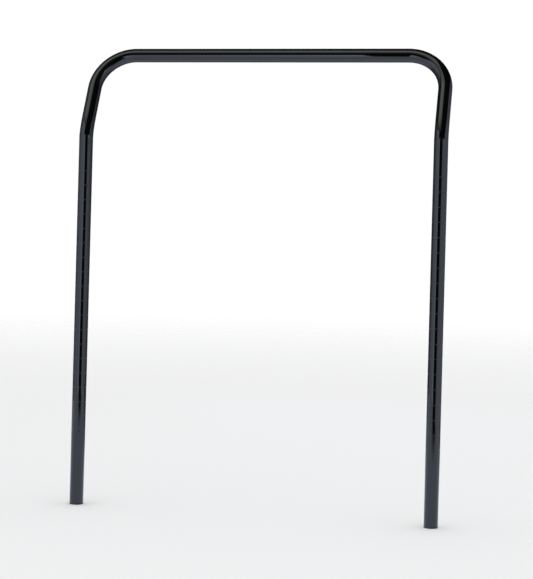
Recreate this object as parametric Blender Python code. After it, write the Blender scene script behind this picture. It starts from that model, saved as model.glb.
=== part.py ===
"""Kip bar: a gooseneck hoop of black steel tube, mitred and welded onto two straight legs
with height-index grooves.

Metres, +Z up. X runs along the crossbar, and the hoop leans back towards +Y. The origin is
midway between the leg ends, on the line between the two leg axes.
"""

import math

import bmesh
import bpy
from mathutils import Matrix, Vector

# Tube stock: 48.3 x 3.2 mm round steel tube.
TUBE_R = 0.0483 / 2
WALL = 0.0032
BORE_R = TUBE_R - WALL
CLEARANCE = 0.0003  # between pieces that fit into or against each other

# The frame's driving sizes.
LEG_SPACING = 1.256  # between the leg axes
SEAM_HEIGHT = 1.298  # of the weld seam, on the leg's axis
SEAM_ANGLE = math.radians(13)  # by which the hoop leans back at the seam
SEAM_STRAIGHT = 0.008  # from the seam to the start of the knee's bend
KNEE_R = 0.290  # centreline of the gooseneck bends
HOOP_TILT = math.radians(25)  # of the necks, back from the legs
HOOP_REACH = 0.2885  # from where a knee's two straight lines meet to the crossbar's axis
CORNER_R = 0.136  # centreline of the bends into the crossbar

# Height-index grooves, turned round each leg.
GROOVE_COUNT = 19
GROOVE_PITCH = 0.0508  # 2 in steps
FIRST_GROOVE = 0.259  # height of the lowest groove
GROOVE_DEPTH = 0.0006
GROOVE_HALF_WIDTH = 0.0012

# The joint below each knee: a mitred butt joint with a V-shaped weld seam.
MITRE = math.tan(SEAM_ANGLE / 2)  # slope of the seam's plane against a square cut
SEAM_HALF_WIDTH = 0.0025  # at the tube's surface
SEAM_ROOT_HALF_WIDTH = 0.0008  # at the tube's bore
WELD_SIDE_GAP = 0.0004  # along the tube, on each side of the weld metal
WELD_CROWN = 0.0003  # how far the dressed weld stands proud

# Push-in plug in each leg's lower end.
PLUG_HEAD = 0.004
PLUG_EDGE = 0.0012
PLUG_STEM_R = BORE_R - CLEARANCE
PLUG_LENGTH = 0.032
PLUG_WALL = 0.0025
TUBE_END_CHAMFER = 0.0005

SEGMENTS = 32  # round each tube
CORNER_STEPS = 12
KNEE_STEPS = 4
SHARP_ANGLE = math.radians(25)  # edges steeper than this are shaded sharp

# Sizes that follow from the ones above.
KNEE_TURN = HOOP_TILT - SEAM_ANGLE
NECK_LENGTH = HOOP_REACH - KNEE_R * math.tan(KNEE_TURN / 2) - CORNER_R
BAR_LENGTH = LEG_SPACING - 2 * CORNER_R

SIDES = {"left": -LEG_SPACING / 2, "right": LEG_SPACING / 2}


def clear_scene():
    """Removes every object that the file started with."""
    for obj in list(bpy.data.objects):
        bpy.data.objects.remove(obj, do_unlink=True)


def material(name, colour, roughness, coat=0.0):
    """A Principled BSDF material with one plain colour."""
    made = bpy.data.materials.new(name)
    made.use_nodes = True
    shader = made.node_tree.nodes["Principled BSDF"]
    shader.inputs["Base Color"].default_value = (*colour, 1.0)
    shader.inputs["Roughness"].default_value = roughness
    shader.inputs["Coat Weight"].default_value = coat
    return made


def gloss_black(name):
    """The glossy black paint of the steelwork."""
    return material(name, (0.012, 0.012, 0.014), roughness=0.16, coat=0.5)


def black_plastic(name):
    """The satin black plastic of the plugs."""
    return material(name, (0.022, 0.023, 0.025), roughness=0.42)


def add_ring(bm, frame, radius):
    """A circle of points across the frame's Z axis."""
    angles = (2 * math.pi * i / SEGMENTS for i in range(SEGMENTS))
    circle = (Vector((radius * math.cos(a), radius * math.sin(a), 0)) for a in angles)
    return [bm.verts.new(frame @ point) for point in circle]


def join_rings(bm, first, second):
    """A band of quads between two rings."""
    for i in range(SEGMENTS):
        j = (i + 1) % SEGMENTS
        bm.faces.new((first[i], first[j], second[j], second[i]))


def round_mesh(name, sections, capped=False):
    """A mesh through rings given as (frame, radius), closed on itself or capped at both ends."""
    bm = bmesh.new()
    rings = [add_ring(bm, frame, radius) for frame, radius in sections]
    for first, second in zip(rings, rings[1:]):
        join_rings(bm, first, second)
    if capped:
        bm.faces.new(rings[0])
        bm.faces.new(rings[-1])
    else:
        join_rings(bm, rings[-1], rings[0])
    bmesh.ops.recalc_face_normals(bm, faces=bm.faces)
    mesh = bpy.data.meshes.new(name)
    bm.to_mesh(mesh)
    bm.free()
    mesh.shade_smooth()
    mesh.set_sharp_from_angle(angle=SHARP_ANGLE)
    return mesh


def along(frame, distance):
    """The frame moved along its own Z axis."""
    return frame @ Matrix.Translation((0, 0, distance))


def mitred(frame, slope):
    """The frame with its ring plane slanted across its Y axis."""
    slant = Matrix.Identity(4)
    slant[2][1] = slope
    return frame @ slant


def leg_cut(height):
    """The seam's plane across the leg, at a height above the seam along the leg's axis."""
    return mitred(Matrix.Translation((0, 0, height)), -MITRE)


def hoop_cut(distance):
    """The seam's plane across the hoop, at a distance above the seam along the hoop's axis."""
    return mitred(along(Matrix.Rotation(-SEAM_ANGLE, 4, "X"), distance), MITRE)


def bend(frame, radius, angle, axis, steps):
    """The frames round a bend about an axis, after the one that it starts from."""
    tangent = frame.col[2].to_3d()
    centre = frame.translation + axis.cross(tangent) * radius
    turn = Matrix.Rotation(angle / steps, 4, axis)
    step = Matrix.Translation(centre) @ turn @ Matrix.Translation(-centre)
    frames = []
    for _ in range(steps):
        frame = step @ frame
        frames.append(frame)
    return frames


def hoop_frames():
    """Frames along the hoop, from the left knee's bend to the right knee's."""
    lean_back = Vector((-1, 0, 0))
    over = Vector((0, math.cos(HOOP_TILT), -math.sin(HOOP_TILT)))
    quarter = math.pi / 2
    frames = [along(Matrix.Rotation(-SEAM_ANGLE, 4, "X"), SEAM_STRAIGHT)]
    frames += bend(frames[-1], KNEE_R, KNEE_TURN, lean_back, KNEE_STEPS)
    frames.append(along(frames[-1], NECK_LENGTH))
    frames += bend(frames[-1], CORNER_R, quarter, over, CORNER_STEPS)
    frames.append(along(frames[-1], BAR_LENGTH))
    frames += bend(frames[-1], CORNER_R, quarter, over, CORNER_STEPS)
    frames.append(along(frames[-1], NECK_LENGTH))
    frames += bend(frames[-1], KNEE_R, KNEE_TURN, -lean_back, KNEE_STEPS)
    return frames


def hoop_mesh():
    """Crossbar, corners, necks and knees in one bent tube, mitred and bevelled at its ends."""
    frames = hoop_frames()
    last = frames[-1]
    shoulder = mitred(along(last, SEAM_STRAIGHT - SEAM_HALF_WIDTH), -MITRE)
    lip = mitred(along(last, SEAM_STRAIGHT - SEAM_ROOT_HALF_WIDTH), -MITRE)
    outside = [(hoop_cut(SEAM_HALF_WIDTH), TUBE_R)]
    outside += [(frame, TUBE_R) for frame in frames]
    outside.append((shoulder, TUBE_R))
    inside = [(hoop_cut(SEAM_ROOT_HALF_WIDTH), BORE_R)]
    inside += [(frame, BORE_R) for frame in frames]
    inside.append((lip, BORE_R))
    return round_mesh("hoop", outside + inside[::-1])


def groove_profile():
    """(height, radius) points of the index grooves, from the lowest up."""
    points = []
    for i in range(GROOVE_COUNT):
        z = FIRST_GROOVE + i * GROOVE_PITCH
        points += [
            (z - GROOVE_HALF_WIDTH, TUBE_R),
            (z, TUBE_R - GROOVE_DEPTH),
            (z + GROOVE_HALF_WIDTH, TUBE_R),
        ]
    return points


def leg_mesh():
    """A straight tube with its index grooves, mitred and bevelled at its upper end."""
    low = PLUG_HEAD + CLEARANCE
    turned = [(low, BORE_R), (low, TUBE_R - TUBE_END_CHAMFER), (low + TUBE_END_CHAMFER, TUBE_R)]
    turned += groove_profile()
    sections = [(Matrix.Translation((0, 0, z)), r) for z, r in turned]
    sections.append((leg_cut(SEAM_HEIGHT - SEAM_HALF_WIDTH), TUBE_R))
    sections.append((leg_cut(SEAM_HEIGHT - SEAM_ROOT_HALF_WIDTH), BORE_R))
    return round_mesh("leg", sections)


def weld_mesh():
    """The ring of weld metal in the seam, dressed almost flush."""
    root = SEAM_ROOT_HALF_WIDTH - WELD_SIDE_GAP
    top = SEAM_HALF_WIDTH - WELD_SIDE_GAP
    sections = [
        (leg_cut(-root), BORE_R),
        (leg_cut(-top), TUBE_R),
        (leg_cut(0), TUBE_R + WELD_CROWN),
        (hoop_cut(top), TUBE_R),
        (hoop_cut(root), BORE_R),
    ]
    return round_mesh("knee_weld", sections)


def plug_mesh():
    """A flat-headed plug whose hollow stem is open at the top."""
    cup_r = PLUG_STEM_R - PLUG_WALL
    profile = [
        (0, TUBE_R - PLUG_EDGE),
        (PLUG_EDGE, TUBE_R),
        (PLUG_HEAD, TUBE_R),
        (PLUG_HEAD, PLUG_STEM_R),
        (PLUG_LENGTH - PLUG_EDGE, PLUG_STEM_R),
        (PLUG_LENGTH, PLUG_STEM_R - PLUG_EDGE),
        (PLUG_LENGTH, cup_r),
        (PLUG_HEAD, cup_r),
    ]
    sections = [(Matrix.Translation((0, 0, z)), r) for z, r in profile]
    return round_mesh("end_plug", sections, capped=True)


def place(name, mesh, location, finish, parent):
    """An object of its own, with its own material, under the frame's empty."""
    obj = bpy.data.objects.new(name, mesh.copy())
    obj.data.name = name
    obj.data.materials.append(finish)
    obj.location = location
    obj.parent = parent
    bpy.context.scene.collection.objects.link(obj)
    return obj


def main():
    """Builds the seven pieces under one empty."""
    clear_scene()
    root = bpy.data.objects.new("kip_bar", None)
    bpy.context.scene.collection.objects.link(root)
    place("hoop", hoop_mesh(), (SIDES["left"], 0, SEAM_HEIGHT), gloss_black("hoop"), root)
    leg, weld, plug = leg_mesh(), weld_mesh(), plug_mesh()
    for side, x in SIDES.items():
        name = f"leg_{side}"
        place(name, leg, (x, 0, 0), gloss_black(name), root)
        name = f"knee_weld_{side}"
        place(name, weld, (x, 0, SEAM_HEIGHT), gloss_black(name), root)
        name = f"end_plug_{side}"
        place(name, plug, (x, 0, 0), black_plastic(name), root)
    for spare in (leg, weld, plug):
        bpy.data.meshes.remove(spare)


main()
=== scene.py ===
"""The look of a gooseneck kip bar: glossy black steel tube, dressed welds, moulded end plugs."""

import logging
import math
from collections.abc import Callable
from dataclasses import dataclass, field
from enum import Enum

import bmesh
import bpy
from mathutils import Matrix, Vector


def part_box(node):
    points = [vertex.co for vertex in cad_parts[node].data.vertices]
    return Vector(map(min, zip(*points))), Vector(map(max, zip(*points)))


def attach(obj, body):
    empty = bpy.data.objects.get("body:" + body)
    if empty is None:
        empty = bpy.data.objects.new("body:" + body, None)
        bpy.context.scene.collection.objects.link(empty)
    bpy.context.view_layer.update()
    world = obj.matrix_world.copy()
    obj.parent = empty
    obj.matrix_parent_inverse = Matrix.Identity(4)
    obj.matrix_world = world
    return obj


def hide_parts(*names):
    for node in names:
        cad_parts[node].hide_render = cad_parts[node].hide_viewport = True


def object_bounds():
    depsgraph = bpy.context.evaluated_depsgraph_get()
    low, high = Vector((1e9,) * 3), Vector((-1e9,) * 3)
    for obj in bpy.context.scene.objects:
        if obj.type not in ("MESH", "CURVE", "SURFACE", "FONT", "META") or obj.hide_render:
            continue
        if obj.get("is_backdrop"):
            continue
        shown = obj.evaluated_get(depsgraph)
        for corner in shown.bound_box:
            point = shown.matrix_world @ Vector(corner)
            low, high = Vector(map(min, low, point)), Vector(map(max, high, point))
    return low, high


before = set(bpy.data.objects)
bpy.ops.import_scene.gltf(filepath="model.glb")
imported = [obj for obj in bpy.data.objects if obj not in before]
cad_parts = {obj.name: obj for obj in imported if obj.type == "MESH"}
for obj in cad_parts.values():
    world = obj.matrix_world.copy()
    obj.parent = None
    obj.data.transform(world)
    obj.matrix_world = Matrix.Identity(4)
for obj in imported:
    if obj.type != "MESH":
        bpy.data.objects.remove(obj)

CAD_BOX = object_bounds()
BODY = "root"
MM = 0.001
TOUCH = 0.0001  # nearer than this, a point counts as being at the tube's end
SAME_POINT = 0.000001  # nearer than this, two points are one
PANEL_MAP = "panel"  # the UV map that a light panel's glow follows

log = logging.getLogger("kip_bar")


class Side(Enum):
    """The two halves of the bar, by the sign of X."""

    LEFT = -1
    RIGHT = 1

    @property
    def word(self) -> str:
        """The side's name in node and piece names."""
        return self.name.lower()


class Shade(Enum):
    """Linear base colours of the finishes."""

    ENAMEL = (0.0016, 0.0017, 0.0020)
    ENAMEL_DUSTY = (0.0050, 0.0052, 0.0056)
    PRIMER = (0.055, 0.056, 0.058)
    MOULDED = (0.0120, 0.0124, 0.0132)
    MOULDED_WORN = (0.030, 0.030, 0.031)
    FLOOR = (0.90, 0.903, 0.91)
    SIDE_LIGHT = (0.865, 0.97, 1.165)
    TOP_LIGHT = (0.995, 1.06, 0.945)


# ---------------------------------------------------------------------------------------
# Node graphs


class NodeGraph:
    """Nodes and the links between them, under construction."""

    def __init__(self, tree: bpy.types.NodeTree) -> None:
        """Starts work on a node tree.

        Args:
            tree: The tree that the nodes go into.
        """
        self.tree = tree

    def add(self, kind: str, **settings: object) -> bpy.types.Node:
        """Adds a node and sets its own properties.

        Args:
            kind: The node's type.
            **settings: Properties such as operation or data_type.

        Returns:
            The new node.
        """
        node = self.tree.nodes.new(kind)
        for key, value in settings.items():
            setattr(node, key, value)
        return node

    def feed(self, target: bpy.types.NodeSocket, source: object) -> None:
        """Links a socket into another, or sets the other's value.

        Args:
            target: The input socket.
            source: An output socket, or a plain value.
        """
        if isinstance(source, bpy.types.NodeSocket):
            self.tree.links.new(source, target)
        else:
            target.default_value = source

    def operate(self, kind: str, *terms: object, **settings: object) -> bpy.types.Node:
        """Adds a node and feeds its first inputs in order.

        Args:
            kind: The node's type.
            *terms: Sockets or plain values.
            **settings: Properties such as operation.

        Returns:
            The new node.
        """
        node = self.add(kind, **settings)
        for target, term in zip(node.inputs, terms):
            self.feed(target, term)
        return node

    def split(self, vector: object) -> tuple[bpy.types.NodeSocket, ...]:
        """The X, Y and Z of a vector."""
        return tuple(self.operate("ShaderNodeSeparateXYZ", vector).outputs)


class GeometryTree(NodeGraph):
    """A Geometry Nodes group under construction, with named inputs."""

    def __init__(self, name: str) -> None:
        """Starts an empty group.

        Args:
            name: The group's name.
        """
        super().__init__(bpy.data.node_groups.new(name, "GeometryNodeTree"))
        self.tree.interface.new_socket("Geometry", in_out="OUTPUT", socket_type="NodeSocketGeometry")
        self.values: dict[str, object] = {}

    def size(self, name: str, value: object) -> bpy.types.NodeSocket:
        """Declares a named input of the group.

        Args:
            name: The input's name.
            value: What this build gives it: a float, an int or a material.

        Returns:
            The socket that carries it inside the group.
        """
        kinds = {float: "NodeSocketFloat", int: "NodeSocketInt", bpy.types.Material: "NodeSocketMaterial"}
        self.tree.interface.new_socket(name, in_out="INPUT", socket_type=kinds[type(value)])
        self.values[name] = value
        return self.add("NodeGroupInput").outputs[name]

    def math(self, operation: str, *terms: object) -> bpy.types.NodeSocket:
        """A Math node.

        Args:
            operation: Its operation, such as ADD.
            *terms: Sockets or numbers.

        Returns:
            The result.
        """
        return self.operate("ShaderNodeMath", *terms, operation=operation).outputs[0]

    def mixed(self, share: object, first: object, second: object) -> bpy.types.NodeSocket:
        """The first number where share is 0, the second where it is 1."""
        change = self.math("MULTIPLY", share, self.math("SUBTRACT", second, first))
        return self.math("ADD", first, change)

    def vector(self, x: object, y: object, z: object) -> bpy.types.NodeSocket:
        """A vector from three numbers or sockets."""
        return self.operate("ShaderNodeCombineXYZ", x, y, z).outputs[0]

    def index(self) -> bpy.types.NodeSocket:
        """The number of each point, from 0."""
        return self.add("GeometryNodeInputIndex").outputs[0]

    def spot(self) -> tuple[bpy.types.NodeSocket, ...]:
        """The X, Y and Z of each point."""
        return self.split(self.add("GeometryNodeInputPosition").outputs[0])

    def across(self, step: object, count: object) -> bpy.types.NodeSocket:
        """Turns the number of a step into a share.

        Args:
            step: The step's number, from 0.
            count: How many steps there are.

        Returns:
            -1 at the first step, 0 at the middle one and 1 at the last.
        """
        middle = self.math("DIVIDE", self.math("SUBTRACT", count, 1.0), 2.0)
        return self.math("DIVIDE", self.math("SUBTRACT", step, middle), middle)

    def pick(self, index: object, items: list) -> bpy.types.NodeSocket:
        """Picks one of several numbers by an index.

        Args:
            index: The integer field.
            items: Sockets or plain numbers, in order.

        Returns:
            The picked number.
        """
        node = self.add("GeometryNodeIndexSwitch", data_type="FLOAT")
        while len(node.index_switch_items) < len(items):
            node.index_switch_items.new()
        self.feed(node.inputs["Index"], index)
        for i, item in enumerate(items):
            self.feed(node.inputs[1 + i], item)
        return node.outputs[0]

    def line(self, count: object, position: object) -> bpy.types.NodeSocket:
        """A polyline whose points follow a position field.

        Args:
            count: How many points.
            position: A vector field over the point index.

        Returns:
            The curve.
        """
        points = self.add("GeometryNodeMeshLine")
        self.feed(points.inputs["Count"], count)
        self.feed(points.inputs["Offset"], (0.0, 0.0, MM))
        curve = self.add("GeometryNodeMeshToCurve")
        self.feed(curve.inputs["Mesh"], self.set_points(points.outputs["Mesh"], "Position", position))
        return curve.outputs["Curve"]

    def upright(self, axis: object, low: object, high: object) -> bpy.types.NodeSocket:
        """A straight path of two points, one above the other.

        Args:
            axis: X of both.
            low: Height of the first.
            high: Height of the second.

        Returns:
            The curve.
        """
        return self.line(2, self.vector(axis, 0.0, self.pick(self.index(), [low, high])))

    def set_points(self, mesh: object, how: str, vector: object) -> bpy.types.NodeSocket:
        """Moves the points of a geometry.

        Args:
            mesh: The geometry.
            how: Position, to place them, or Offset, to shift them.
            vector: The vector field to place or shift them by.

        Returns:
            The moved geometry.
        """
        mover = self.add("GeometryNodeSetPosition")
        self.feed(mover.inputs["Geometry"], mesh)
        self.feed(mover.inputs[how], vector)
        return mover.outputs["Geometry"]

    def skin(
        self, curve: object, radius: object, sides: object, inward: bool = False
    ) -> bpy.types.NodeSocket:
        """An open round skin along a curve.

        Args:
            curve: The path.
            radius: Its radius, as a number or a field over the path's points.
            sides: How many sides the round has.
            inward: Whether the faces point to the axis.

        Returns:
            The mesh.
        """
        circle = self.add("GeometryNodeCurvePrimitiveCircle")
        self.feed(circle.inputs["Resolution"], sides)
        self.feed(circle.inputs["Radius"], 1.0)
        sweep = self.add("GeometryNodeCurveToMesh")
        self.feed(sweep.inputs["Curve"], curve)
        self.feed(sweep.inputs["Profile Curve"], circle.outputs["Curve"])
        self.feed(sweep.inputs["Scale"], radius)
        if not inward:
            return sweep.outputs["Mesh"]
        flip = self.add("GeometryNodeFlipFaces")
        self.feed(flip.inputs["Mesh"], sweep.outputs["Mesh"])
        return flip.outputs["Mesh"]

    def named(self, mesh: object, name: str, value: object) -> bpy.types.NodeSocket:
        """Stores a point attribute that a finish reads.

        Args:
            mesh: The geometry.
            name: The attribute's name.
            value: A float field.

        Returns:
            The geometry with the attribute.
        """
        store = self.add("GeometryNodeStoreNamedAttribute", data_type="FLOAT", domain="POINT")
        self.feed(store.inputs["Geometry"], mesh)
        self.feed(store.inputs["Name"], name)
        self.feed(store.inputs["Value"], value)
        return store.outputs["Geometry"]

    def read(self, name: str) -> bpy.types.NodeSocket:
        """A float attribute stored earlier in the group.

        Args:
            name: The attribute's name.

        Returns:
            Its field.
        """
        node = self.add("GeometryNodeInputNamedAttribute", data_type="FLOAT")
        self.feed(node.inputs["Name"], name)
        return node.outputs["Attribute"]

    def close(self, meshes: list, finish: bpy.types.Material) -> None:
        """Joins the meshes, realises them and gives them their material, as the group's result.

        Args:
            meshes: Mesh sockets.
            finish: The material.
        """
        join = self.add("GeometryNodeJoinGeometry")
        for mesh in meshes:
            self.feed(join.inputs["Geometry"], mesh)
        realise = self.add("GeometryNodeRealizeInstances")
        self.feed(realise.inputs["Geometry"], join.outputs["Geometry"])
        dress = self.add("GeometryNodeSetMaterial")
        self.feed(dress.inputs["Geometry"], realise.outputs["Geometry"])
        self.feed(dress.inputs["Material"], self.size("Finish", finish))
        self.feed(self.add("NodeGroupOutput").inputs["Geometry"], dress.outputs["Geometry"])

    def grow(self, name: str) -> bpy.types.Object:
        """Runs the group with its named sizes and keeps the result as a plain mesh.

        Args:
            name: The new object's name.

        Returns:
            The object, with no modifier.
        """
        piece = bpy.data.objects.new(name, bpy.data.meshes.new(name + "_seed"))
        bpy.context.scene.collection.objects.link(piece)
        modifier = piece.modifiers.new("shape", "NODES")
        modifier.node_group = self.tree
        for item in self.tree.interface.items_tree:
            if item.item_type == "SOCKET" and item.in_out == "INPUT":
                modifier[item.identifier] = self.values[item.name]
        graph = bpy.context.evaluated_depsgraph_get()
        mesh = bpy.data.meshes.new_from_object(piece.evaluated_get(graph))
        piece.modifiers.remove(modifier)
        piece.data = mesh
        mesh.name = name
        return piece


@dataclass(frozen=True)
class Grain:
    """A noise pattern."""

    scale: float  # features per metre
    detail: float  # octaves
    roughness: float = 0.5  # strength of the finer octaves


@dataclass(frozen=True)
class Ramp:
    """A smooth clamped step from one value to another."""

    low: float  # where it starts
    high: float  # where it ends
    at_low: float = 0.0
    at_high: float = 1.0


@dataclass(frozen=True)
class Relief:
    """A layer of relief: its depth in metres and how much of it shows."""

    depth: float
    strength: float


class ShaderGraph(NodeGraph):
    """A material's node graph under construction."""

    def __init__(self, name: str) -> None:
        """Starts a material with a Principled shader.

        Args:
            name: The material's name.
        """
        self.material = bpy.data.materials.new(name)
        self.material.use_nodes = True
        super().__init__(self.material.node_tree)
        self.shader = self.tree.nodes["Principled BSDF"]
        self.place = self.add("ShaderNodeTexCoord").outputs["Object"]

    def moved(self, shift: tuple, stretch: tuple = (1.0, 1.0, 1.0)) -> bpy.types.NodeSocket:
        """Object coordinates shifted and stretched.

        Args:
            shift: The shift, in metres.
            stretch: The scale on each axis.

        Returns:
            The coordinates.
        """
        mapping = self.add("ShaderNodeMapping")
        self.feed(mapping.inputs["Vector"], self.place)
        mapping.inputs["Location"].default_value = shift
        mapping.inputs["Scale"].default_value = stretch
        return mapping.outputs["Vector"]

    def noise(self, where: object, grain: Grain) -> bpy.types.NodeSocket:
        """Noise between 0 and 1.

        Args:
            where: Coordinates.
            grain: The pattern.

        Returns:
            Its value.
        """
        node = self.add("ShaderNodeTexNoise")
        self.feed(node.inputs["Vector"], where)
        node.inputs["Scale"].default_value = grain.scale
        node.inputs["Detail"].default_value = grain.detail
        node.inputs["Roughness"].default_value = grain.roughness
        return node.outputs[0]

    def specks(self, where: object, scale: float, size: float) -> bpy.types.NodeSocket:
        """Sparse round specks, 1 at their middles and 0 between them.

        Args:
            where: Coordinates.
            scale: Cells per metre.
            size: A speck's radius as a share of a cell.

        Returns:
            The mask.
        """
        node = self.add("ShaderNodeTexVoronoi", feature="F1")
        self.feed(node.inputs["Vector"], where)
        node.inputs["Scale"].default_value = scale
        return self.ramp(node.outputs["Distance"], Ramp(0.0, size, 1.0, 0.0))

    def ramp(self, value: object, ramp: Ramp) -> bpy.types.NodeSocket:
        """Takes a value through a ramp.

        Args:
            value: The input.
            ramp: The ramp.

        Returns:
            The result.
        """
        node = self.add("ShaderNodeMapRange", interpolation_type="SMOOTHSTEP")
        self.feed(node.inputs["Value"], value)
        node.inputs["From Min"].default_value = ramp.low
        node.inputs["From Max"].default_value = ramp.high
        node.inputs["To Min"].default_value = ramp.at_low
        node.inputs["To Max"].default_value = ramp.at_high
        return node.outputs["Result"]

    def math(self, operation: str, *terms: object) -> bpy.types.NodeSocket:
        """A clamped Math node."""
        return self.operate("ShaderNodeMath", *terms, operation=operation, use_clamp=True).outputs[0]

    def scaled(self, first: object, second: object) -> bpy.types.NodeSocket:
        """The product of two numbers, not clamped."""
        return self.operate("ShaderNodeMath", first, second, operation="MULTIPLY").outputs[0]

    def between(self, share: object, first: object, second: object) -> bpy.types.NodeSocket:
        """A number that runs evenly from one value to another.

        Args:
            share: How far along, 0 to 1.
            first: The value at 0.
            second: The value at 1.

        Returns:
            The number.
        """
        node = self.add("ShaderNodeMapRange", interpolation_type="LINEAR")
        self.feed(node.inputs["Value"], share)
        self.feed(node.inputs["To Min"], first)
        self.feed(node.inputs["To Max"], second)
        return node.outputs["Result"]

    def distance(self, centre: tuple[float, float, float]) -> bpy.types.NodeSocket:
        """How far a point is from a centre."""
        node = self.operate("ShaderNodeVectorMath", self.place, centre, operation="DISTANCE")
        return node.outputs["Value"]

    def lamp(self, shade: Shade, strength: object) -> bpy.types.Material:
        """Makes the shader glow instead of reflecting.

        Args:
            shade: The light's colour.
            strength: Its strength.

        Returns:
            The material.
        """
        inputs = self.shader.inputs
        inputs["Base Color"].default_value = (0.0, 0.0, 0.0, 1.0)
        inputs["Specular IOR Level"].default_value = 0.0
        inputs["Emission Color"].default_value = (*shade.value, 1.0)
        self.feed(inputs["Emission Strength"], strength)
        return self.material

    def blend(self, share: object, first: object, second: object) -> bpy.types.NodeSocket:
        """Mixes two colours.

        Args:
            share: How much of the second.
            first: A colour socket or Shade.
            second: A colour socket or Shade.

        Returns:
            The mixed colour.
        """
        node = self.add("ShaderNodeMix", data_type="RGBA")
        self.feed(node.inputs["Factor"], share)
        for target, colour in ((node.inputs[6], first), (node.inputs[7], second)):
            self.feed(target, (*colour.value, 1.0) if isinstance(colour, Shade) else colour)
        return node.outputs[2]

    def bump(self, height: object, relief: Relief, under: object = None) -> bpy.types.NodeSocket:
        """A bump layer.

        Args:
            height: Its height field, between 0 and 1.
            relief: How deep it is and how much of it shows.
            under: The normal of the layer below.

        Returns:
            The normal.
        """
        node = self.add("ShaderNodeBump")
        self.feed(node.inputs["Height"], height)
        node.inputs["Distance"].default_value = relief.depth
        node.inputs["Strength"].default_value = relief.strength
        if under is not None:
            self.feed(node.inputs["Normal"], under)
        return node.outputs["Normal"]

    def settle(
        self, colour: object, roughness: object, normal: object, **fixed: float
    ) -> bpy.types.Material:
        """Feeds the shader and returns the material.

        Args:
            colour: The base colour.
            roughness: The roughness.
            normal: The bumped normal.
            **fixed: Shader values by socket name, with _ for a space.

        Returns:
            The finished material.
        """
        self.feed(self.shader.inputs["Base Color"], colour)
        self.feed(self.shader.inputs["Roughness"], roughness)
        self.feed(self.shader.inputs["Normal"], normal)
        for name, number in fixed.items():
            self.shader.inputs[name.replace("_", " ")].default_value = number
        return self.material


# ---------------------------------------------------------------------------------------
# Finishes


@dataclass(frozen=True)
class GlossEnamel:
    """Black gloss paint on steel: orange peel, dust nibs, faint smears and rub marks."""

    name: str
    shift: tuple[float, float, float] = (0.0, 0.0, 0.0)
    polish: float = 0.025  # roughness of clean paint
    smeared: float = 0.075  # roughness where it has been handled
    peel: float = 0.00004  # depth of the orange peel, in metres
    rubbed: float = 0.0  # how far the sockets have rubbed it
    haze: Grain = Grain(9.0, 5.0, 0.62)
    dust: Ramp = Ramp(0.52, 0.80, 0.0, 0.55)  # how the haze turns into dust
    smears: Grain = Grain(26.0, 4.0, 0.6)
    smear_from: float = 0.50  # of the noise: paint below it is clean
    smear_to: float = 0.86  # of the noise: paint above it is fully smeared
    orange_peel: Grain = Grain(420.0, 2.0, 0.35)
    peel_strength: float = 0.20
    nib_scale: float = 210.0  # cells per metre
    nib_size: float = 0.085  # of a cell
    nib_relief: Relief = Relief(0.00006, 0.55)
    hairs: Grain = Grain(900.0, 3.0, 0.7)
    hair_ramp: Ramp = Ramp(0.63, 0.76)
    patches: Grain = Grain(14.0, 3.0)
    patch_ramp: Ramp = Ramp(0.50, 0.72)
    stretch: float = 0.02  # the hairs' scale along the tube, as a share of that across it
    scuff_relief: Relief = Relief(0.00002, 0.35)
    scuff_primer: float = 0.10  # how much primer shows through a scuff
    scuff_roughness: float = 0.22  # what a scuff adds to the roughness
    groove_primer: float = 0.16  # how much primer shows in a groove

    def material(self) -> bpy.types.Material:
        """The paint's material.

        Returns:
            The material.
        """
        graph = ShaderGraph(self.name)
        here = graph.moved(self.shift)
        dusty = graph.ramp(graph.noise(here, self.haze), self.dust)
        nibs = graph.specks(here, self.nib_scale, self.nib_size)
        scuffs = self.scuffs(graph)
        groove = graph.add("ShaderNodeAttribute", attribute_name="groove").outputs["Fac"]
        colour = graph.blend(dusty, Shade.ENAMEL, Shade.ENAMEL_DUSTY)
        for mark, share in ((groove, self.groove_primer), (scuffs, self.scuff_primer)):
            colour = graph.blend(graph.math("MULTIPLY", mark, share), colour, Shade.PRIMER)
        handling = Ramp(self.smear_from, self.smear_to, self.polish, self.smeared)
        wiped = graph.ramp(graph.noise(here, self.smears), handling)
        roughness = graph.math("ADD", wiped, graph.math("MULTIPLY", scuffs, self.scuff_roughness))
        normal = graph.bump(graph.noise(here, self.orange_peel), Relief(self.peel, self.peel_strength))
        normal = graph.bump(nibs, self.nib_relief, normal)
        normal = graph.bump(scuffs, self.scuff_relief, normal)
        return graph.settle(colour, roughness, normal, IOR=1.5, Metallic=0.0)

    def scuffs(self, graph: ShaderGraph) -> bpy.types.NodeSocket:
        """Fine lengthwise rub marks, drawn out along Z.

        Args:
            graph: The material's graph.

        Returns:
            A mask, 0 where the paint is unmarked.
        """
        lengthwise = graph.moved(self.shift, (1.0, 1.0, self.stretch))
        hairs = graph.ramp(graph.noise(lengthwise, self.hairs), self.hair_ramp)
        patches = graph.ramp(graph.noise(graph.moved(self.shift), self.patches), self.patch_ramp)
        marked = graph.math("MULTIPLY", hairs, patches)
        return graph.math("MULTIPLY", marked, self.rubbed)


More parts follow.
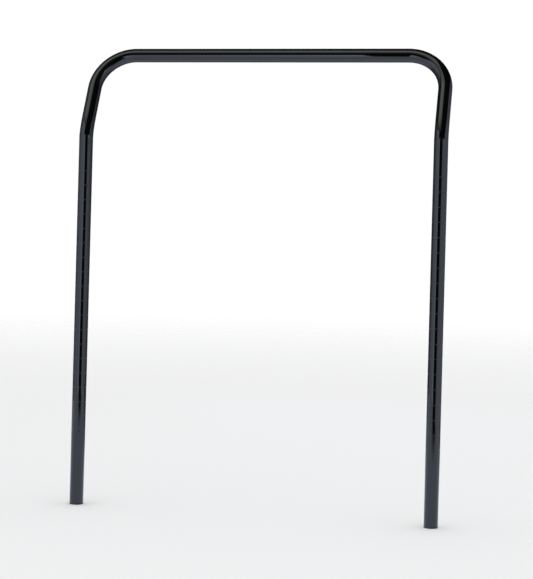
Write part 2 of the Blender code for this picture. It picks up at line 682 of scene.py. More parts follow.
@dataclass(frozen=True)
class MouldedPlastic:
    """Satin black plastic with a fine spark-eroded grain and worn patches."""

    name: str
    shift: tuple[float, float, float] = (0.0, 0.0, 0.0)
    wear: Grain = Grain(70.0, 5.0, 0.65)
    wear_ramp: Ramp = Ramp(0.55, 0.78, 0.0, 0.7)
    satin: Grain = Grain(45.0, 3.0)
    satin_ramp: Ramp = Ramp(0.3, 0.8, 0.34, 0.52)  # from the noise to the roughness
    erosion: Grain = Grain(1500.0, 3.0, 0.6)
    erosion_relief: Relief = Relief(0.00006, 0.45)

    def material(self) -> bpy.types.Material:
        """The plastic's material.

        Returns:
            The material.
        """
        graph = ShaderGraph(self.name)
        here = graph.moved(self.shift)
        worn = graph.ramp(graph.noise(here, self.wear), self.wear_ramp)
        colour = graph.blend(worn, Shade.MOULDED, Shade.MOULDED_WORN)
        roughness = graph.ramp(graph.noise(here, self.satin), self.satin_ramp)
        normal = graph.bump(graph.noise(here, self.erosion), self.erosion_relief)
        return graph.settle(colour, roughness, normal, IOR=1.47, Metallic=0.0)


# ---------------------------------------------------------------------------------------
# The bar's pieces


@dataclass
class TubeStock:
    """The round tube that the hoop and the legs are made from."""

    radius: float
    wall: float = 0.0032
    fit: float = 0.0003  # clearance of a plug's stem
    sides: int = 96

    @property
    def bore(self) -> float:
        """The tube's inner radius."""
        return self.radius - self.wall


@dataclass
class BarFrame:
    """Where the bar's pieces lie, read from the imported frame."""

    leg_x: float
    seam: float
    foot: float
    leg_low: float
    bar_back: float
    bar_height: float
    tube: TubeStock
    seam_angle: float = math.radians(13)  # by which the hoop leans back at the seam

    @classmethod
    def read(cls) -> "BarFrame":
        """Reads the places from the CAD nodes' boxes.

        Returns:
            The frame's measures.
        """
        low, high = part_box("leg_right")
        weld_low, weld_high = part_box("knee_weld_right")
        hoop_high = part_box("hoop")[1]
        radius = (high.x - low.x) / 2
        return cls(
            leg_x=(high.x + low.x) / 2,
            seam=(weld_low.z + weld_high.z) / 2,
            foot=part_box("end_plug_right")[0].z,
            leg_low=low.z,
            bar_back=hoop_high.y - radius,
            bar_height=hoop_high.z - radius,
            tube=TubeStock(radius),
        )

    @property
    def mitre(self) -> float:
        """The slope of the seam's plane, which halves the angle between the two tubes."""
        return math.tan(self.seam_angle / 2)


def close_rims(piece: bpy.types.Object, is_second: Callable[[Vector], bool]) -> None:
    """Closes both ends of a tube by a band from the outer skin's open edge to the inner skin's.

    Args:
        piece: A mesh of an outer and an inner skin.
        is_second: Whether a point is at the tube's second end.
    """
    bm = bmesh.new()
    bm.from_mesh(piece.data)
    open_edges = [edge for edge in bm.edges if edge.is_boundary]
    for second in (False, True):
        rim = [edge for edge in open_edges if is_second(edge.verts[0].co) == second]
        bmesh.ops.bridge_loops(bm, edges=rim)
    bmesh.ops.recalc_face_normals(bm, faces=bm.faces)
    bm.to_mesh(piece.data)
    bm.free()


def solid(bm: bmesh.types.BMesh, name: str, finish: bpy.types.Material) -> bpy.types.Object:
    """Keeps a finished bmesh as an object that isn't in the scene yet.

    Args:
        bm: The bmesh, which is freed.
        name: The object's name.
        finish: Its material.

    Returns:
        The object.
    """
    mesh = bpy.data.meshes.new(name)
    bm.to_mesh(mesh)
    bm.free()
    mesh.materials.append(finish)
    return bpy.data.objects.new(name, mesh)


def smooth(piece: bpy.types.Object, crease: float = 40.0) -> None:
    """Shades a round piece smooth, with edges sharper than the crease kept.

    Args:
        piece: The mesh object.
        crease: The angle in degrees.
    """
    piece.data.shade_smooth()
    piece.data.set_sharp_from_angle(angle=math.radians(crease))


def stand_for(piece: bpy.types.Object, node: str) -> None:
    """Puts a finished piece in the place of its CAD node.

    Args:
        piece: The detailed piece.
        node: The node's name.
    """
    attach(piece, BODY)
    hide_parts(node)


@dataclass
class Hoop:
    """Crossbar, corners, necks and knees in one bent tube, with its ends mitred for the legs."""

    place: BarFrame
    tilt: float = math.radians(25)  # of the necks, back from the legs
    knee_radius: float = 0.290
    corner_radius: float = 0.136
    gap: float = 0.0006  # from the seam's plane to the tube's end
    straight: float = 0.008  # from the seam to the start of the knee's bend
    bend_steps: int = 40

    def tree(self, finish: bpy.types.Material) -> GeometryTree:
        """The tube as a filleted path with an outer and an inner skin.

        Args:
            finish: Its paint.

        Returns:
            The Geometry Nodes tree, with its sizes.
        """
        tree = GeometryTree("bent_tube")
        tube, place = self.place.tube, self.place
        half = tree.size("Half Leg Spacing", place.leg_x)
        seam = tree.size("Seam Height", place.seam)
        bar = tree.size("Crossbar Height", place.bar_height)
        back = tree.size("Crossbar Back", place.bar_back)
        lean = tree.size("Lean At Seam", place.seam_angle)
        slope = tree.size("Mitre Slope", place.mitre)
        turn = tree.size("Knee Bend", self.tilt - place.seam_angle)
        knee_radius = tree.size("Knee Radius", self.knee_radius)
        corner_radius = tree.size("Corner Radius", self.corner_radius)
        steps = tree.size("Bend Steps", self.bend_steps)
        sides = tree.size("Sides", tube.sides)
        radius = tree.size("Tube Radius", tube.radius)
        bore = tree.size("Bore Radius", tube.bore)
        gap = tree.size("End Gap", self.gap)
        straight = tree.size("Straight At Seam", self.straight)

        # the path's turning points: end, knee and corner on the left, then back on the right
        index, last = tree.index(), 5
        step = tree.math("MINIMUM", index, tree.math("SUBTRACT", last, index))
        side = tree.math("SIGN", tree.math("SUBTRACT", index, last / 2))
        setback = tree.math("MULTIPLY", knee_radius, tree.math("TANGENT", tree.math("DIVIDE", turn, 2.0)))
        setback = tree.math("ADD", setback, straight)
        knee_back = tree.math("MULTIPLY", setback, tree.math("SINE", lean))
        knee_height = tree.math("ADD", seam, tree.math("MULTIPLY", setback, tree.math("COSINE", lean)))
        spot = tree.vector(
            tree.math("MULTIPLY", side, half),
            tree.pick(step, [0.0, knee_back, back]),
            tree.pick(step, [seam, knee_height, bar]),
        )
        fillet = tree.add("GeometryNodeFilletCurve", mode="POLY")
        tree.feed(fillet.inputs["Curve"], tree.line(last + 1, spot))
        tree.feed(fillet.inputs["Count"], steps)
        tree.feed(fillet.inputs["Radius"], tree.pick(step, [0.0, knee_radius, corner_radius]))
        route = tree.named(fillet.outputs["Curve"], "mitre", self.mitre_share(tree, straight))

        skins = [tree.skin(route, radius, sides), tree.skin(route, bore, sides, inward=True)]
        tree.close([self.mitred(tree, skin, seam, lean, slope, gap) for skin in skins], finish)
        return tree

    @staticmethod
    def mitre_share(tree: GeometryTree, run: object) -> bpy.types.NodeSocket:
        """1 at the tube's ends, falling to 0 after a short run, over the path's points.

        Args:
            tree: The tree.
            run: The length over which it falls.

        Returns:
            The field.
        """
        along = tree.add("GeometryNodeSplineParameter").outputs["Length"]
        whole = tree.add("GeometryNodeSplineLength").outputs["Length"]
        near = tree.math("MINIMUM", along, tree.math("SUBTRACT", whole, along))
        return tree.math("MAXIMUM", 0.0, tree.math("SUBTRACT", 1.0, tree.math("DIVIDE", near, run)))

    @staticmethod
    def mitred(
        tree: GeometryTree, skin: object, seam: object, lean: object, slope: object, gap: object
    ) -> bpy.types.NodeSocket:
        """Slides the tube's end rings along its axis until they lie in the seam's plane.

        Args:
            tree: The tree.
            skin: The tube's skin.
            seam: The seam's height on the leg's axis.
            lean: The angle by which the tube leans back there.
            slope: The slope of the seam's plane against a square end.
            gap: The distance kept from that plane.

        Returns:
            The skin with mitred ends.
        """
        y, z = tree.spot()[1:]
        sine, cosine = tree.math("SINE", lean), tree.math("COSINE", lean)
        rise = tree.math("SUBTRACT", z, seam)
        aside = tree.math("MULTIPLY", y, cosine)
        aside = tree.math("SUBTRACT", aside, tree.math("MULTIPLY", rise, sine))
        slide = tree.math("ADD", gap, tree.math("MULTIPLY", aside, slope))
        slide = tree.math("MULTIPLY", slide, tree.read("mitre"))
        move = tree.vector(0.0, tree.math("MULTIPLY", slide, sine), tree.math("MULTIPLY", slide, cosine))
        return tree.set_points(skin, "Offset", move)

    def build(self) -> bpy.types.Object:
        """Makes, closes and paints the hoop.

        Returns:
            The finished piece.
        """
        finish = GlossEnamel("hoop_enamel", shift=(0.31, 0.07, 0.11)).material()
        piece = self.tree(finish).grow("hoop_tube")
        close_rims(piece, lambda point: point.x > 0)
        smooth(piece)
        stand_for(piece, "hoop")
        return piece


@dataclass
class Leg:
    """A straight leg with height-index grooves turned round it."""

    place: BarFrame
    side: Side
    grooves: int = 19
    pitch: float = 0.0508
    first: float = 0.259
    depth: float = 0.0006
    half_width: float = 0.0012
    across: int = 13  # points over each groove's section, with one or two beyond it on each side
    margin: float = 1.3  # how far those go, in half widths
    bevel: float = 0.0005
    gap: float = 0.0006  # from the seam's plane to the leg's end

    def tree(self, finish: bpy.types.Material) -> GeometryTree:
        """The tube as a straight path whose radius dips at each groove.

        Args:
            finish: Its paint.

        Returns:
            The Geometry Nodes tree, with its sizes.
        """
        tree = GeometryTree(f"indexed_tube_{self.side.word}")
        tube, place = self.place.tube, self.place
        axis = tree.size("Leg Axis X", self.side.value * place.leg_x)
        low = tree.size("Lower End", place.leg_low)
        top = tree.size("Upper End", place.seam - self.gap)
        slope = tree.size("Mitre Slope", place.mitre)
        radius = tree.size("Tube Radius", tube.radius)
        bore = tree.size("Bore Radius", tube.bore)
        bevel = tree.size("End Bevel", self.bevel)
        first = tree.size("First Groove", self.first)
        pitch = tree.size("Groove Pitch", self.pitch)
        depth = tree.size("Groove Depth", self.depth)
        half = tree.size("Groove Half Width", self.half_width)
        grooves = tree.size("Grooves", self.grooves)
        across = tree.size("Points Across", self.across)
        sides = tree.size("Sides", tube.sides)

        # the path's first two points are the lower end; then each groove has its own
        turn = tree.math("SUBTRACT", tree.index(), 2.0)
        groove = tree.math("FLOOR", tree.math("DIVIDE", turn, across))
        step = tree.math("SUBTRACT", turn, tree.math("MULTIPLY", groove, across))
        spread = tree.math("MULTIPLY", tree.across(step, across), self.margin)
        inside = tree.math("MAXIMUM", -1.0, tree.math("MINIMUM", 1.0, spread))
        swing = tree.math("COSINE", tree.math("MULTIPLY", inside, math.pi))
        dip = tree.math("MULTIPLY", tree.math("ADD", swing, 1.0), 0.5)
        centre = tree.math("ADD", first, tree.math("MULTIPLY", groove, pitch))
        turned_height = tree.math("ADD", centre, tree.math("MULTIPLY", spread, half))
        turned_radius = tree.math("SUBTRACT", radius, tree.math("MULTIPLY", dip, depth))

        # zones 0 and 1 are the lower end, 2 the grooves, 3 the upper end
        after = tree.math("SUBTRACT", turn, tree.math("MULTIPLY", grooves, across))
        start = tree.math("MULTIPLY", tree.math("LESS_THAN", turn, 0.0), turn)
        end = tree.math("MULTIPLY", tree.math("GREATER_THAN", after, -0.5), tree.math("ADD", after, 1.0))
        zone = tree.math("ADD", 2.0, tree.math("ADD", start, end))
        slim = tree.math("SUBTRACT", radius, bevel)
        height = tree.pick(zone, [low, tree.math("ADD", low, bevel), turned_height, top])
        reach = tree.pick(zone, [slim, radius, turned_radius, radius])
        mark = tree.pick(zone, [0.0, 0.0, dip, 0.0])
        count = tree.math("ADD", tree.math("MULTIPLY", grooves, across), 3.0)

        # the radius and the groove's mark are kept on the path before its points become rings
        path = tree.line(count, tree.vector(axis, 0.0, height))
        path = tree.named(tree.named(path, "groove", mark), "reach", reach)
        outer = tree.skin(path, tree.read("reach"), sides)
        inner = tree.skin(tree.upright(axis, low, top), bore, sides, inward=True)
        tree.close([self.mitred(tree, skin, top, slope) for skin in (outer, inner)], finish)
        return tree

    @staticmethod
    def mitred(tree: GeometryTree, skin: object, top: object, slope: object) -> bpy.types.NodeSocket:
        """Slants the upper end's ring into the seam's plane.

        Args:
            tree: The tree.
            skin: The tube's skin.
            top: The upper end's height on the axis.
            slope: The slope of the seam's plane.

        Returns:
            The skin with its upper end slanted.
        """
        y, z = tree.spot()[1:]
        at_top = tree.math("GREATER_THAN", z, tree.math("SUBTRACT", top, TOUCH))
        drop = tree.math("MULTIPLY", tree.math("MULTIPLY", y, slope), -1.0)
        return tree.set_points(skin, "Offset", tree.vector(0.0, 0.0, tree.math("MULTIPLY", drop, at_top)))

    def build(self) -> bpy.types.Object:
        """Makes, closes and paints the leg.

        Returns:
            The finished piece.
        """
        name = f"leg_{self.side.word}"
        shift = (0.17 * self.side.value, 0.23, 0.4 + 0.1 * self.side.value)
        finish = GlossEnamel(f"{name}_enamel", shift=shift, rubbed=1.0).material()
        piece = self.tree(finish).grow(f"{name}_tube")
        close_rims(piece, lambda point: point.z > self.place.seam / 2)
        smooth(piece)
        stand_for(piece, name)
        return piece


@dataclass
class KneeWeld:
    """The weld seam below a knee: a dressed bead with the faint ripples of its passes."""

    place: BarFrame
    side: Side
    half_width: float = 0.0034  # the dressed bead laps over the seam's edges
    root_half_width: float = 0.0004
    crown: float = 0.0003
    sink: float = 0.00006  # of its edges, below the tube's surface
    ripples: int = 54
    ripple_height: float = 0.00007
    curl: float = 1.6  # how far a ripple's ends trail, in radians
    root_sink: float = 0.0001  # of the root, behind the tube's bore
    across: int = 13
    sides: int = 324

    def tree(self, finish: bpy.types.Material) -> GeometryTree:
        """The bead as a short turned skin with ripples round it.

        Args:
            finish: Its paint.

        Returns:
            The Geometry Nodes tree, with its sizes.
        """
        tree = GeometryTree(f"weld_bead_{self.side.word}")
        tube, place = self.place.tube, self.place
        axis = tree.size("Leg Axis X", self.side.value * place.leg_x)
        seam = tree.size("Seam Height", place.seam)
        half = tree.size("Half Width", self.half_width)
        root_half = tree.size("Root Half Width", self.root_half_width)
        radius = tree.size("Tube Radius", tube.radius)
        root = tree.size("Root Radius", tube.bore + self.root_sink)
        crown = tree.size("Crown", self.crown)
        sink = tree.size("Edge Sink", self.sink)
        lean = tree.size("Lean At Seam", place.seam_angle)
        slope = tree.size("Mitre Slope", place.mitre)
        across = tree.size("Points Across", self.across)
        sides = tree.size("Sides", self.sides)

        share = tree.across(tree.index(), across)
        bow = tree.math("SUBTRACT", 1.0, tree.math("MULTIPLY", share, share))
        height = tree.math("ADD", seam, tree.math("MULTIPLY", share, half))
        path = tree.line(across, tree.vector(axis, 0.0, height))
        swell = tree.math("SUBTRACT", tree.math("MULTIPLY", bow, tree.math("ADD", crown, sink)), sink)
        path = tree.named(path, "reach", tree.math("ADD", radius, swell))
        skin = self.rippled(tree, tree.skin(path, tree.read("reach"), sides), axis, seam, half, radius)

        low = tree.math("SUBTRACT", seam, root_half)
        high = tree.math("ADD", seam, root_half)
        root_skin = tree.skin(tree.upright(axis, low, high), root, sides, inward=True)
        tree.close([self.mitred(tree, part, seam, lean, slope) for part in (skin, root_skin)], finish)
        return tree

    def rippled(
        self, tree: GeometryTree, skin: object, axis: object, seam: object, half: object, radius: object
    ) -> bpy.types.NodeSocket:
        """Gives the bead the faint ripples of its weld passes.

        Args:
            tree: The tree.
            skin: The bead's skin.
            axis: X of the leg's axis.
            seam: The seam's height.
            half: Half the bead's width.
            radius: The tube's radius.

        Returns:
            The rippled skin.
        """
        ripples = tree.size("Ripples", float(self.ripples))
        lift = tree.size("Ripple Height", self.ripple_height)
        curl = tree.size("Ripple Curl", self.curl)
        x, y, z = tree.spot()
        east = tree.math("SUBTRACT", x, axis)
        angle = tree.math("ARCTAN2", y, east)
        rise = tree.math("DIVIDE", tree.math("SUBTRACT", z, seam), half)
        rise_squared = tree.math("MULTIPLY", rise, rise)
        trail = tree.math("MULTIPLY", rise_squared, curl)
        phase = tree.math("ADD", tree.math("MULTIPLY", angle, ripples), trail)
        wave = tree.math("MULTIPLY", tree.math("SINE", phase), tree.math("SUBTRACT", 1.0, rise_squared))
        reach = tree.math("DIVIDE", tree.math("MULTIPLY", wave, lift), radius)
        lift_off = tree.vector(tree.math("MULTIPLY", east, reach), tree.math("MULTIPLY", y, reach), 0.0)
        return tree.set_points(skin, "Offset", lift_off)

    @staticmethod
    def mitred(
        tree: GeometryTree, skin: object, seam: object, lean: object, slope: object
    ) -> bpy.types.NodeSocket:
        """Folds a level ring so that its lower half follows the leg and its upper half the hoop.

        Args:
            tree: The tree.
            skin: The ring's skin.
            seam: The seam's height on the leg's axis.
            lean: The angle between the two tubes.
            slope: The slope of the plane between them.

        Returns:
            The folded ring.
        """
        x, y, z = tree.spot()
        rise = tree.math("SUBTRACT", z, seam)
        shear = tree.math("MULTIPLY", y, slope)
        below = tree.math("SUBTRACT", rise, shear)
        above = tree.math("ADD", rise, shear)
        sine, cosine = tree.math("SINE", lean), tree.math("COSINE", lean)
        leant_y = tree.math("ADD", tree.math("MULTIPLY", y, cosine), tree.math("MULTIPLY", above, sine))
        leant_z = tree.math("SUBTRACT", tree.math("MULTIPLY", above, cosine), tree.math("MULTIPLY", y, sine))
        upper = tree.math("GREATER_THAN", rise, 0.0)
        new_y = tree.mixed(upper, y, leant_y)
        new_z = tree.math("ADD", seam, tree.mixed(upper, below, leant_z))
        return tree.set_points(skin, "Position", tree.vector(x, new_y, new_z))

    def build(self) -> bpy.types.Object:
        """Makes, closes and paints the bead.

        Returns:
            The finished piece.
        """
        name = f"knee_weld_{self.side.word}"
        shift = (0.4, 0.3 * self.side.value, 0.2)
        finish = GlossEnamel(f"{name}_enamel", shift=shift, peel=0.00012).material()
        piece = self.tree(finish).grow(f"{name}_bead")
        close_rims(piece, lambda point: point.z + point.y * self.place.mitre > self.place.seam)
        smooth(piece, crease=60.0)
        stand_for(piece, name)
        return piece


@dataclass
class EndPlug:
    """A moulded plug: a rounded head that closes the leg, on a hollow ribbed stem."""

    place: BarFrame
    side: Side
    head: float = 0.004
    length: float = 0.032
    edge: float = 0.0012
    wall: float = 0.0025
    ribs: int = 5
    rib_depth: float = 0.0004
    rib_steps: tuple[float, float, float] = (0.15, 0.35, 0.7)  # where a rib is full, falls and ends
    dish_radius: float = 0.0150
    dish_depth: float = 0.0004
    gate_radius: float = 0.0017
    gate_rim: float = 1.6  # height of the ring round the gate mark, in depths of the dish
    rounding: int = 6
    sides: int = 96

    def arc(self, z: float, r: float, start: float) -> list[tuple[float, float]]:
        """A quarter round of the head's edge, as (height, radius) points.

        Args:
            z: Height of the arc's centre.
            r: Radius of the arc's centre.
            start: The first angle in degrees, from straight out.

        Returns:
            The points, a quarter turn from the start.
        """
        angles = [math.radians(start + 90 * i / self.rounding) for i in range(self.rounding + 1)]
        return [(z + self.edge * math.sin(a), r + self.edge * math.cos(a)) for a in angles]

    def underside(self) -> list[tuple[float, float]]:
        """The head's lower face, from the gate mark at its middle out to the rounded edge."""
        dish = self.dish_depth
        return [
            (dish, 0.0),
            (dish, self.gate_radius),
            (dish * self.gate_rim, self.gate_radius + 0.2 * MM),
            (dish * self.gate_rim, self.gate_radius + 0.6 * MM),
            (dish, self.gate_radius + 0.9 * MM),
            (dish, self.dish_radius - 0.6 * MM),
            (0.0, self.dish_radius + 0.6 * MM),
        ]

    def stem(self) -> list[tuple[float, float]]:
        """The ribbed outside of the stem, upwards from the head.

        Returns:
            The outline, as (height, radius) points.
        """
        outer = self.place.tube.bore - self.place.tube.fit
        inner = outer - self.rib_depth
        points = [(self.head, inner)]
        pitch = (self.length - self.head - 3 * self.edge) / self.ribs
        full, falls, ends = (share * pitch for share in self.rib_steps)
        for i in range(self.ribs):
            z = self.head + self.edge + i * pitch
            points += [(z, inner), (z + full, outer), (z + falls, outer), (z + ends, inner)]
        return points + [(self.length - self.edge, inner), (self.length, inner - self.edge)]

    def profile(self) -> list[tuple[float, float]]:
        """The whole section, from the axis below to the axis inside the cup.

        Returns:
            The outline, as (height, radius) points.
        """
        radius = self.place.tube.radius
        cup = self.place.tube.bore - self.place.tube.fit - self.wall
        return [
            *self.underside(),
            *self.arc(self.edge, radius - self.edge, -90),
            (self.head - 0.3 * MM, radius),
            (self.head, radius - 0.3 * MM),
            *self.stem(),
            (self.length, cup),
            (self.head + self.edge, cup),
            (self.head, cup - self.edge),
            (self.head, 0.0),
        ]

    def build(self) -> bpy.types.Object:
        """Turns the section round the leg's axis and gives it its plastic.

        Returns:
            The finished piece.
        """
        name = f"end_plug_{self.side.word}"
        bm = bmesh.new()
        x = self.side.value * self.place.leg_x
        axis = Vector((x, 0, 0))
        points = [bm.verts.new((x + r, 0, self.place.foot + z)) for z, r in self.profile()]
        edges = [bm.edges.new(pair) for pair in zip(points, points[1:])]
        turned = {"cent": axis, "axis": (0, 0, 1), "angle": math.tau, "steps": self.sides}
        bmesh.ops.spin(bm, geom=points + edges, **turned)
        bmesh.ops.remove_doubles(bm, verts=bm.verts, dist=SAME_POINT)
        bmesh.ops.recalc_face_normals(bm, faces=bm.faces)
        finish = MouldedPlastic(f"{name}_plastic", shift=(0.2 * self.side.value, 0.1, 0.3)).material()
        piece = solid(bm, f"{name}_moulding", finish)
        bpy.context.scene.collection.objects.link(piece)
        smooth(piece, crease=35.0)
        stand_for(piece, name)
        return piece


# ---------------------------------------------------------------------------------------
# The studio


def show_in_gloss(lamp: bpy.types.Object) -> None:
    """Leaves a lamp seen only in glossy reflections, and marks it as part of the studio.

    Args:
        lamp: The lamp's object.
    """
    bpy.context.scene.collection.objects.link(lamp)
    lamp.visible_camera = False
    lamp.visible_diffuse = False
    lamp.visible_shadow = False
    lamp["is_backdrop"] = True


@dataclass
class LightPanel:
    """A soft panel of light, seen only in the bar's gloss."""

    name: str
    corners: tuple[tuple[float, float, float], ...]  # round the panel, from its near lower corner
    glow: tuple[float, float, float, float]  # at each corner
    feather: tuple[float, float, float, float] = (0.0, 0.0, 0.05, 0.05)  # near, far, low, high
    shade: Shade = Shade.SIDE_LIGHT

    @classmethod
    def wall(
        cls,
        name: str,
        near: tuple[float, float],
        far: tuple[float, float],
        tops: tuple[float, float],
        glow: tuple[float, float, float, float],
        feather: tuple[float, float, float, float] = (0.0, 0.0, 0.0, 0.10),
    ) -> "LightPanel":
        """An upright panel that stands on the floor.

        Args:
            name: Its name.
            near: Plan position of its near end.
            far: Plan position of its far end.
            tops: Its height at the near and the far end.
            glow: At the near foot, far foot, far top and near top.
            feather: Share of it that fades out at its near end, far end, foot and top.

        Returns:
            The panel.
        """
        corners = ((*near, 0.0), (*far, 0.0), (*far, tops[1]), (*near, tops[0]))
        return cls(name, corners, glow, feather)

    def material(self) -> bpy.types.Material:
        """A glow that runs between the corners' values and fades out at the edges.

        Returns:
            The material.
        """
        graph = ShaderGraph(self.name)
        u, v = graph.split(graph.add("ShaderNodeUVMap", uv_map=PANEL_MAP).outputs["UV"])[:2]
        near_foot, far_foot, far_top, near_top = self.glow
        foot = graph.between(u, near_foot, far_foot)
        strength = graph.between(v, foot, graph.between(u, near_top, far_top))
        near, far, low, high = self.feather
        edges = ((u, 0.0, near), (u, 1.0, 1.0 - far), (v, 0.0, low), (v, 1.0, 1.0 - high))
        for along, start, end in edges:
            if start != end:
                strength = graph.scaled(strength, graph.ramp(along, Ramp(start, end)))
        return graph.lamp(self.shade, strength)

    def build(self) -> bpy.types.Object:
        """Makes the panel.

        Returns:
            The panel's object.
        """
        mesh = bpy.data.meshes.new(self.name)
        mesh.from_pydata(self.corners, [], [(0, 1, 2, 3)])
        layer = mesh.uv_layers.new(name=PANEL_MAP)
        for loop, uv in zip(layer.data, ((0, 0), (1, 0), (1, 1), (0, 1))):
            loop.uv = uv
        mesh.materials.append(self.material())
        panel = bpy.data.objects.new(self.name, mesh)
        show_in_gloss(panel)
        return panel


def side_panels() -> list[LightPanel]:
    """The panels that stand round the bar, with a dark gap where the camera is.

    Returns:
        The panels, left ones first.
    """
    wall = LightPanel.wall
    near_edge = (0.22, 0.0, 0.0, 0.12)
    free = (0.3, 0.3, 0.1, 0.3)
    return [
        wall("panel_left_low", (-0.40, -3.91), (-1.95, -3.50), (1.88, 1.95), (2.5, 1.2, 1.2, 2.2)),
        wall("panel_left_tall", (-1.95, -3.50), (-3.65, -1.65), (4.3, 4.1), (1.3, 1.2, 1.5, 2.0)),
        wall("panel_left_side", (-3.65, -1.65), (-4.0, 0.6), (3.9, 3.9), (1.2, 0.42, 0.25, 1.0)),
        wall("panel_left_back", (-4.0, 0.6), (-3.0, 2.7), (3.9, 3.0), (0.42, 0.1, 0.1, 0.25)),
        wall("panel_right_low", (1.93, -2.68), (3.30, -1.30), (2.1, 2.5), (1.1, 1.35, 1.3, 1.1), near_edge),
        wall("panel_right_side", (3.30, -1.30), (3.90, 0.90), (2.5, 3.8), (1.35, 1.0, 0.8, 1.3)),
        wall("panel_right_back", (3.90, 0.90), (2.0, 3.6), (3.8, 3.0), (1.0, 0.12, 0.1, 0.6)),
        wall("panel_behind", (1.3, 4.0), (-1.9, 4.0), (2.6, 2.6), (0.4, 0.4, 0.4, 0.4), free),
    ]


@dataclass(frozen=True)
class CeilingRow:
    """A line across the ceiling light: its place, its right end and its brightness."""

    y: float
    right: float
    glow: float


@dataclass(frozen=True)
class Ceiling:
    """A wide high ceiling light, brightest over the front of the room."""

    height: float = 14.0
    left: float = -20.0
    rows: tuple[CeilingRow, ...] = (
        CeilingRow(-18.0, -1.2, 0.08),
        CeilingRow(-12.0, -1.1, 0.80),
        CeilingRow(-8.0, -0.6, 1.40),
        CeilingRow(-5.4, 2.0, 1.85),
        CeilingRow(-1.7, 3.4, 0.72),
        CeilingRow(1.6, 4.5, 0.05),
    )

    def panels(self) -> list[LightPanel]:
        """One panel between each two rows.

        Returns:
            The panels, from the front to the back.
        """
        feather = (0.35, 0.05, 0.0, 0.0)
        made = []
        for number, (front, back) in enumerate(zip(self.rows, self.rows[1:]), 1):
            corners = (
                (self.left, front.y, self.height),
                (front.right, front.y, self.height),
                (back.right, back.y, self.height),
                (self.left, back.y, self.height),
            )
            glow = (front.glow, front.glow, back.glow, back.glow)
            made.append(LightPanel(f"ceiling_{number}", corners, glow, feather, Shade.TOP_LIGHT))
        return made


def window() -> LightPanel:
    """The bright window in the right wall.

    Returns:
        The panel.
    """
    near, far = (2.20, -2.33), (2.95, -1.57)
    low, high = 1.50, 1.95
    corners = ((*near, low), (*far, low), (*far, high), (*near, high))
    glow, feather = (2.3,) * 4, (0.1,) * 4
    return LightPanel("window", corners, glow, feather, Shade.TOP_LIGHT)


@dataclass
class Floor:
    """A wide pale floor, and the lit part of it that the gloss reflects."""

    reach: float = 14.0
    clear: float = 3.0  # radius up to which the paper is opaque
    lit: float = 4.3  # radius of the lit part
    shadow: tuple[float, float, float] = (1.6, -3.6, 0.0)  # middle of the unlit part by the camera
    core: float = 1.0  # radius of its darkest part
    rim: float = 2.5  # radius where it ends
    bright_to: float = 0.5  # Y where the floor begins to darken towards the back
    dim_from: float = 1.7  # Y where that ends
    dim: float = 0.2  # share of the glow that is left there
    glow: float = 1.30
    sink: float = 0.0005  # of the glow below the paper
    fibre: Grain = Grain(300.0, 2.0)
    fibre_relief: Relief = Relief(0.0002, 0.1)

    def disc(self, name: str, radius: float, height: float, finish: bpy.types.Material) -> bpy.types.Object:
        """A flat round sheet round the origin.

        Args:
            name: Its name.
            radius: Its radius.
            height: Its height.
            finish: Its material.

        Returns:
            The sheet's object.
        """
        bm = bmesh.new()
        bmesh.ops.create_circle(bm, cap_ends=True, radius=radius, segments=96)
        bmesh.ops.translate(bm, verts=bm.verts, vec=(0, 0, height))
        return solid(bm, name, finish)

    def paper(self) -> bpy.types.Material:
        """Pale matt paper that thins out into the backdrop.

        Returns:
            The material.
        """
        graph = ShaderGraph("floor_paper")
        thinning = Ramp(self.clear, self.reach, 1.0, 0.0)
        graph.feed(graph.shader.inputs["Alpha"], graph.ramp(graph.distance((0.0, 0.0, 0.0)), thinning))
        normal = graph.bump(graph.noise(graph.place, self.fibre), self.fibre_relief)
        return graph.settle((*Shade.FLOOR.value, 1.0), 0.8, normal, Specular_IOR_Level=0.1)

    def build(self) -> None:
        """Lays the paper and the glow that stands for it in the gloss."""
        paper = self.disc("floor", self.reach, 0.0, self.paper())
        bpy.context.scene.collection.objects.link(paper)
        paper.visible_glossy = False
        paper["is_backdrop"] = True
        show_in_gloss(self.disc("floor_glow", self.lit, -self.sink, self.shine()))

    def shine(self) -> bpy.types.Material:
        """The glow of the lit floor, dark by the camera and dim towards the back.

        Returns:
            The material.
        """
        graph = ShaderGraph("floor_glow")
        strength = graph.ramp(graph.distance(self.shadow), Ramp(self.core, self.rim, 0.0, self.glow))
        y = graph.split(graph.place)[1]
        back = graph.ramp(y, Ramp(self.bright_to, self.dim_from, 1.0, self.dim))
        return graph.lamp(Shade.SIDE_LIGHT, graph.scaled(strength, back))


@dataclass
class Backdrop:
    """A world that is plain white to the camera and to matt surfaces, and almost dark in the gloss."""

    white: float = 1.0
    dark: float = 0.010

    def build(self) -> None:
        """Makes the world."""
        world = bpy.data.worlds.new("backdrop")
        world.use_nodes = True
        nodes, links = world.node_tree.nodes, world.node_tree.links
        nodes.clear()
        mix = nodes.new("ShaderNodeMixShader")
        links.new(nodes.new("ShaderNodeLightPath").outputs["Is Glossy Ray"], mix.inputs[0])
        for target, strength in zip(mix.inputs[1:], (self.white, self.dark)):
            glow = nodes.new("ShaderNodeBackground")
            glow.inputs["Color"].default_value = (1.0, 1.0, 1.0, 1.0)
            glow.inputs["Strength"].default_value = strength
            links.new(glow.outputs[0], target)
        links.new(mix.outputs[0], nodes.new("ShaderNodeOutputWorld").inputs["Surface"])
        bpy.context.scene.world = world


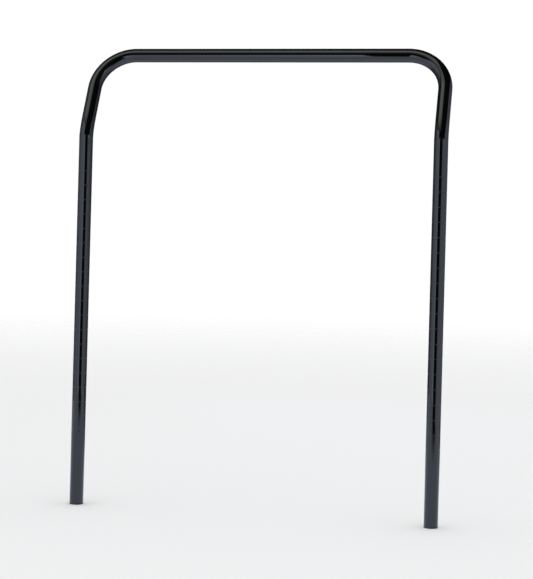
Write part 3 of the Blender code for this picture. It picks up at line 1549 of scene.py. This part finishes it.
@dataclass
class Studio:
    """Floor, backdrop and panels."""

    floor: Floor = field(default_factory=Floor)
    backdrop: Backdrop = field(default_factory=Backdrop)
    panels: list[LightPanel] = field(default_factory=lambda: side_panels() + Ceiling().panels() + [window()])

    def build(self) -> None:
        """Sets the studio up."""
        self.floor.build()
        self.backdrop.build()
        for panel in self.panels:
            panel.build()
        bpy.context.scene.view_settings.view_transform = "Standard"


@dataclass
class StudioCamera:
    """The camera, by where it stands and how it is turned."""

    location: tuple[float, float, float] = (1.2529, -5.003, 0.9466)
    heading: float = 12.336  # degrees left of +Y
    dip: float = 0.011  # degrees below the horizon
    roll: float = 1.558  # degrees
    lens: float = 93.264  # mm
    shift: tuple[float, float] = (-0.0604, -0.0829)  # of the lens

    def build(self) -> None:
        """Makes the camera and looks through it."""
        data = bpy.data.cameras.new("camera")
        data.lens = self.lens
        data.shift_x, data.shift_y = self.shift
        camera = bpy.data.objects.new("camera", data)
        turn = Matrix.Rotation(math.radians(self.heading), 4, "Z")
        tip = Matrix.Rotation(math.radians(90 - self.dip), 4, "X")
        cant = Matrix.Rotation(math.radians(self.roll), 4, "Z")
        camera.matrix_world = Matrix.Translation(self.location) @ turn @ tip @ cant
        bpy.context.scene.collection.objects.link(camera)
        bpy.context.scene.camera = camera


# ---------------------------------------------------------------------------------------


def corners(box: tuple) -> list[list[float]]:
    """A box's two corners as plain lists."""
    return [list(corner) for corner in box]


def write_sizes() -> None:
    """Puts the CAD model's box and the visual model's box into a table, which is not kept."""
    {"cad": corners(CAD_BOX), "visual": corners(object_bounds())}


def main() -> None:
    """Builds the bar, the studio and the camera."""
    logging.basicConfig(level=logging.INFO, format="%(name)s: %(message)s")
    place = BarFrame.read()
    parts = [Hoop(place)]
    for side in Side:
        parts += [Leg(place, side), KneeWeld(place, side), EndPlug(place, side)]
    for part in parts:
        piece = part.build()
        log.info("%s: %d faces", piece.name, len(piece.data.polygons))
    Studio().build()
    StudioCamera().build()
    write_sizes()


if __name__ == "__main__":
    main()
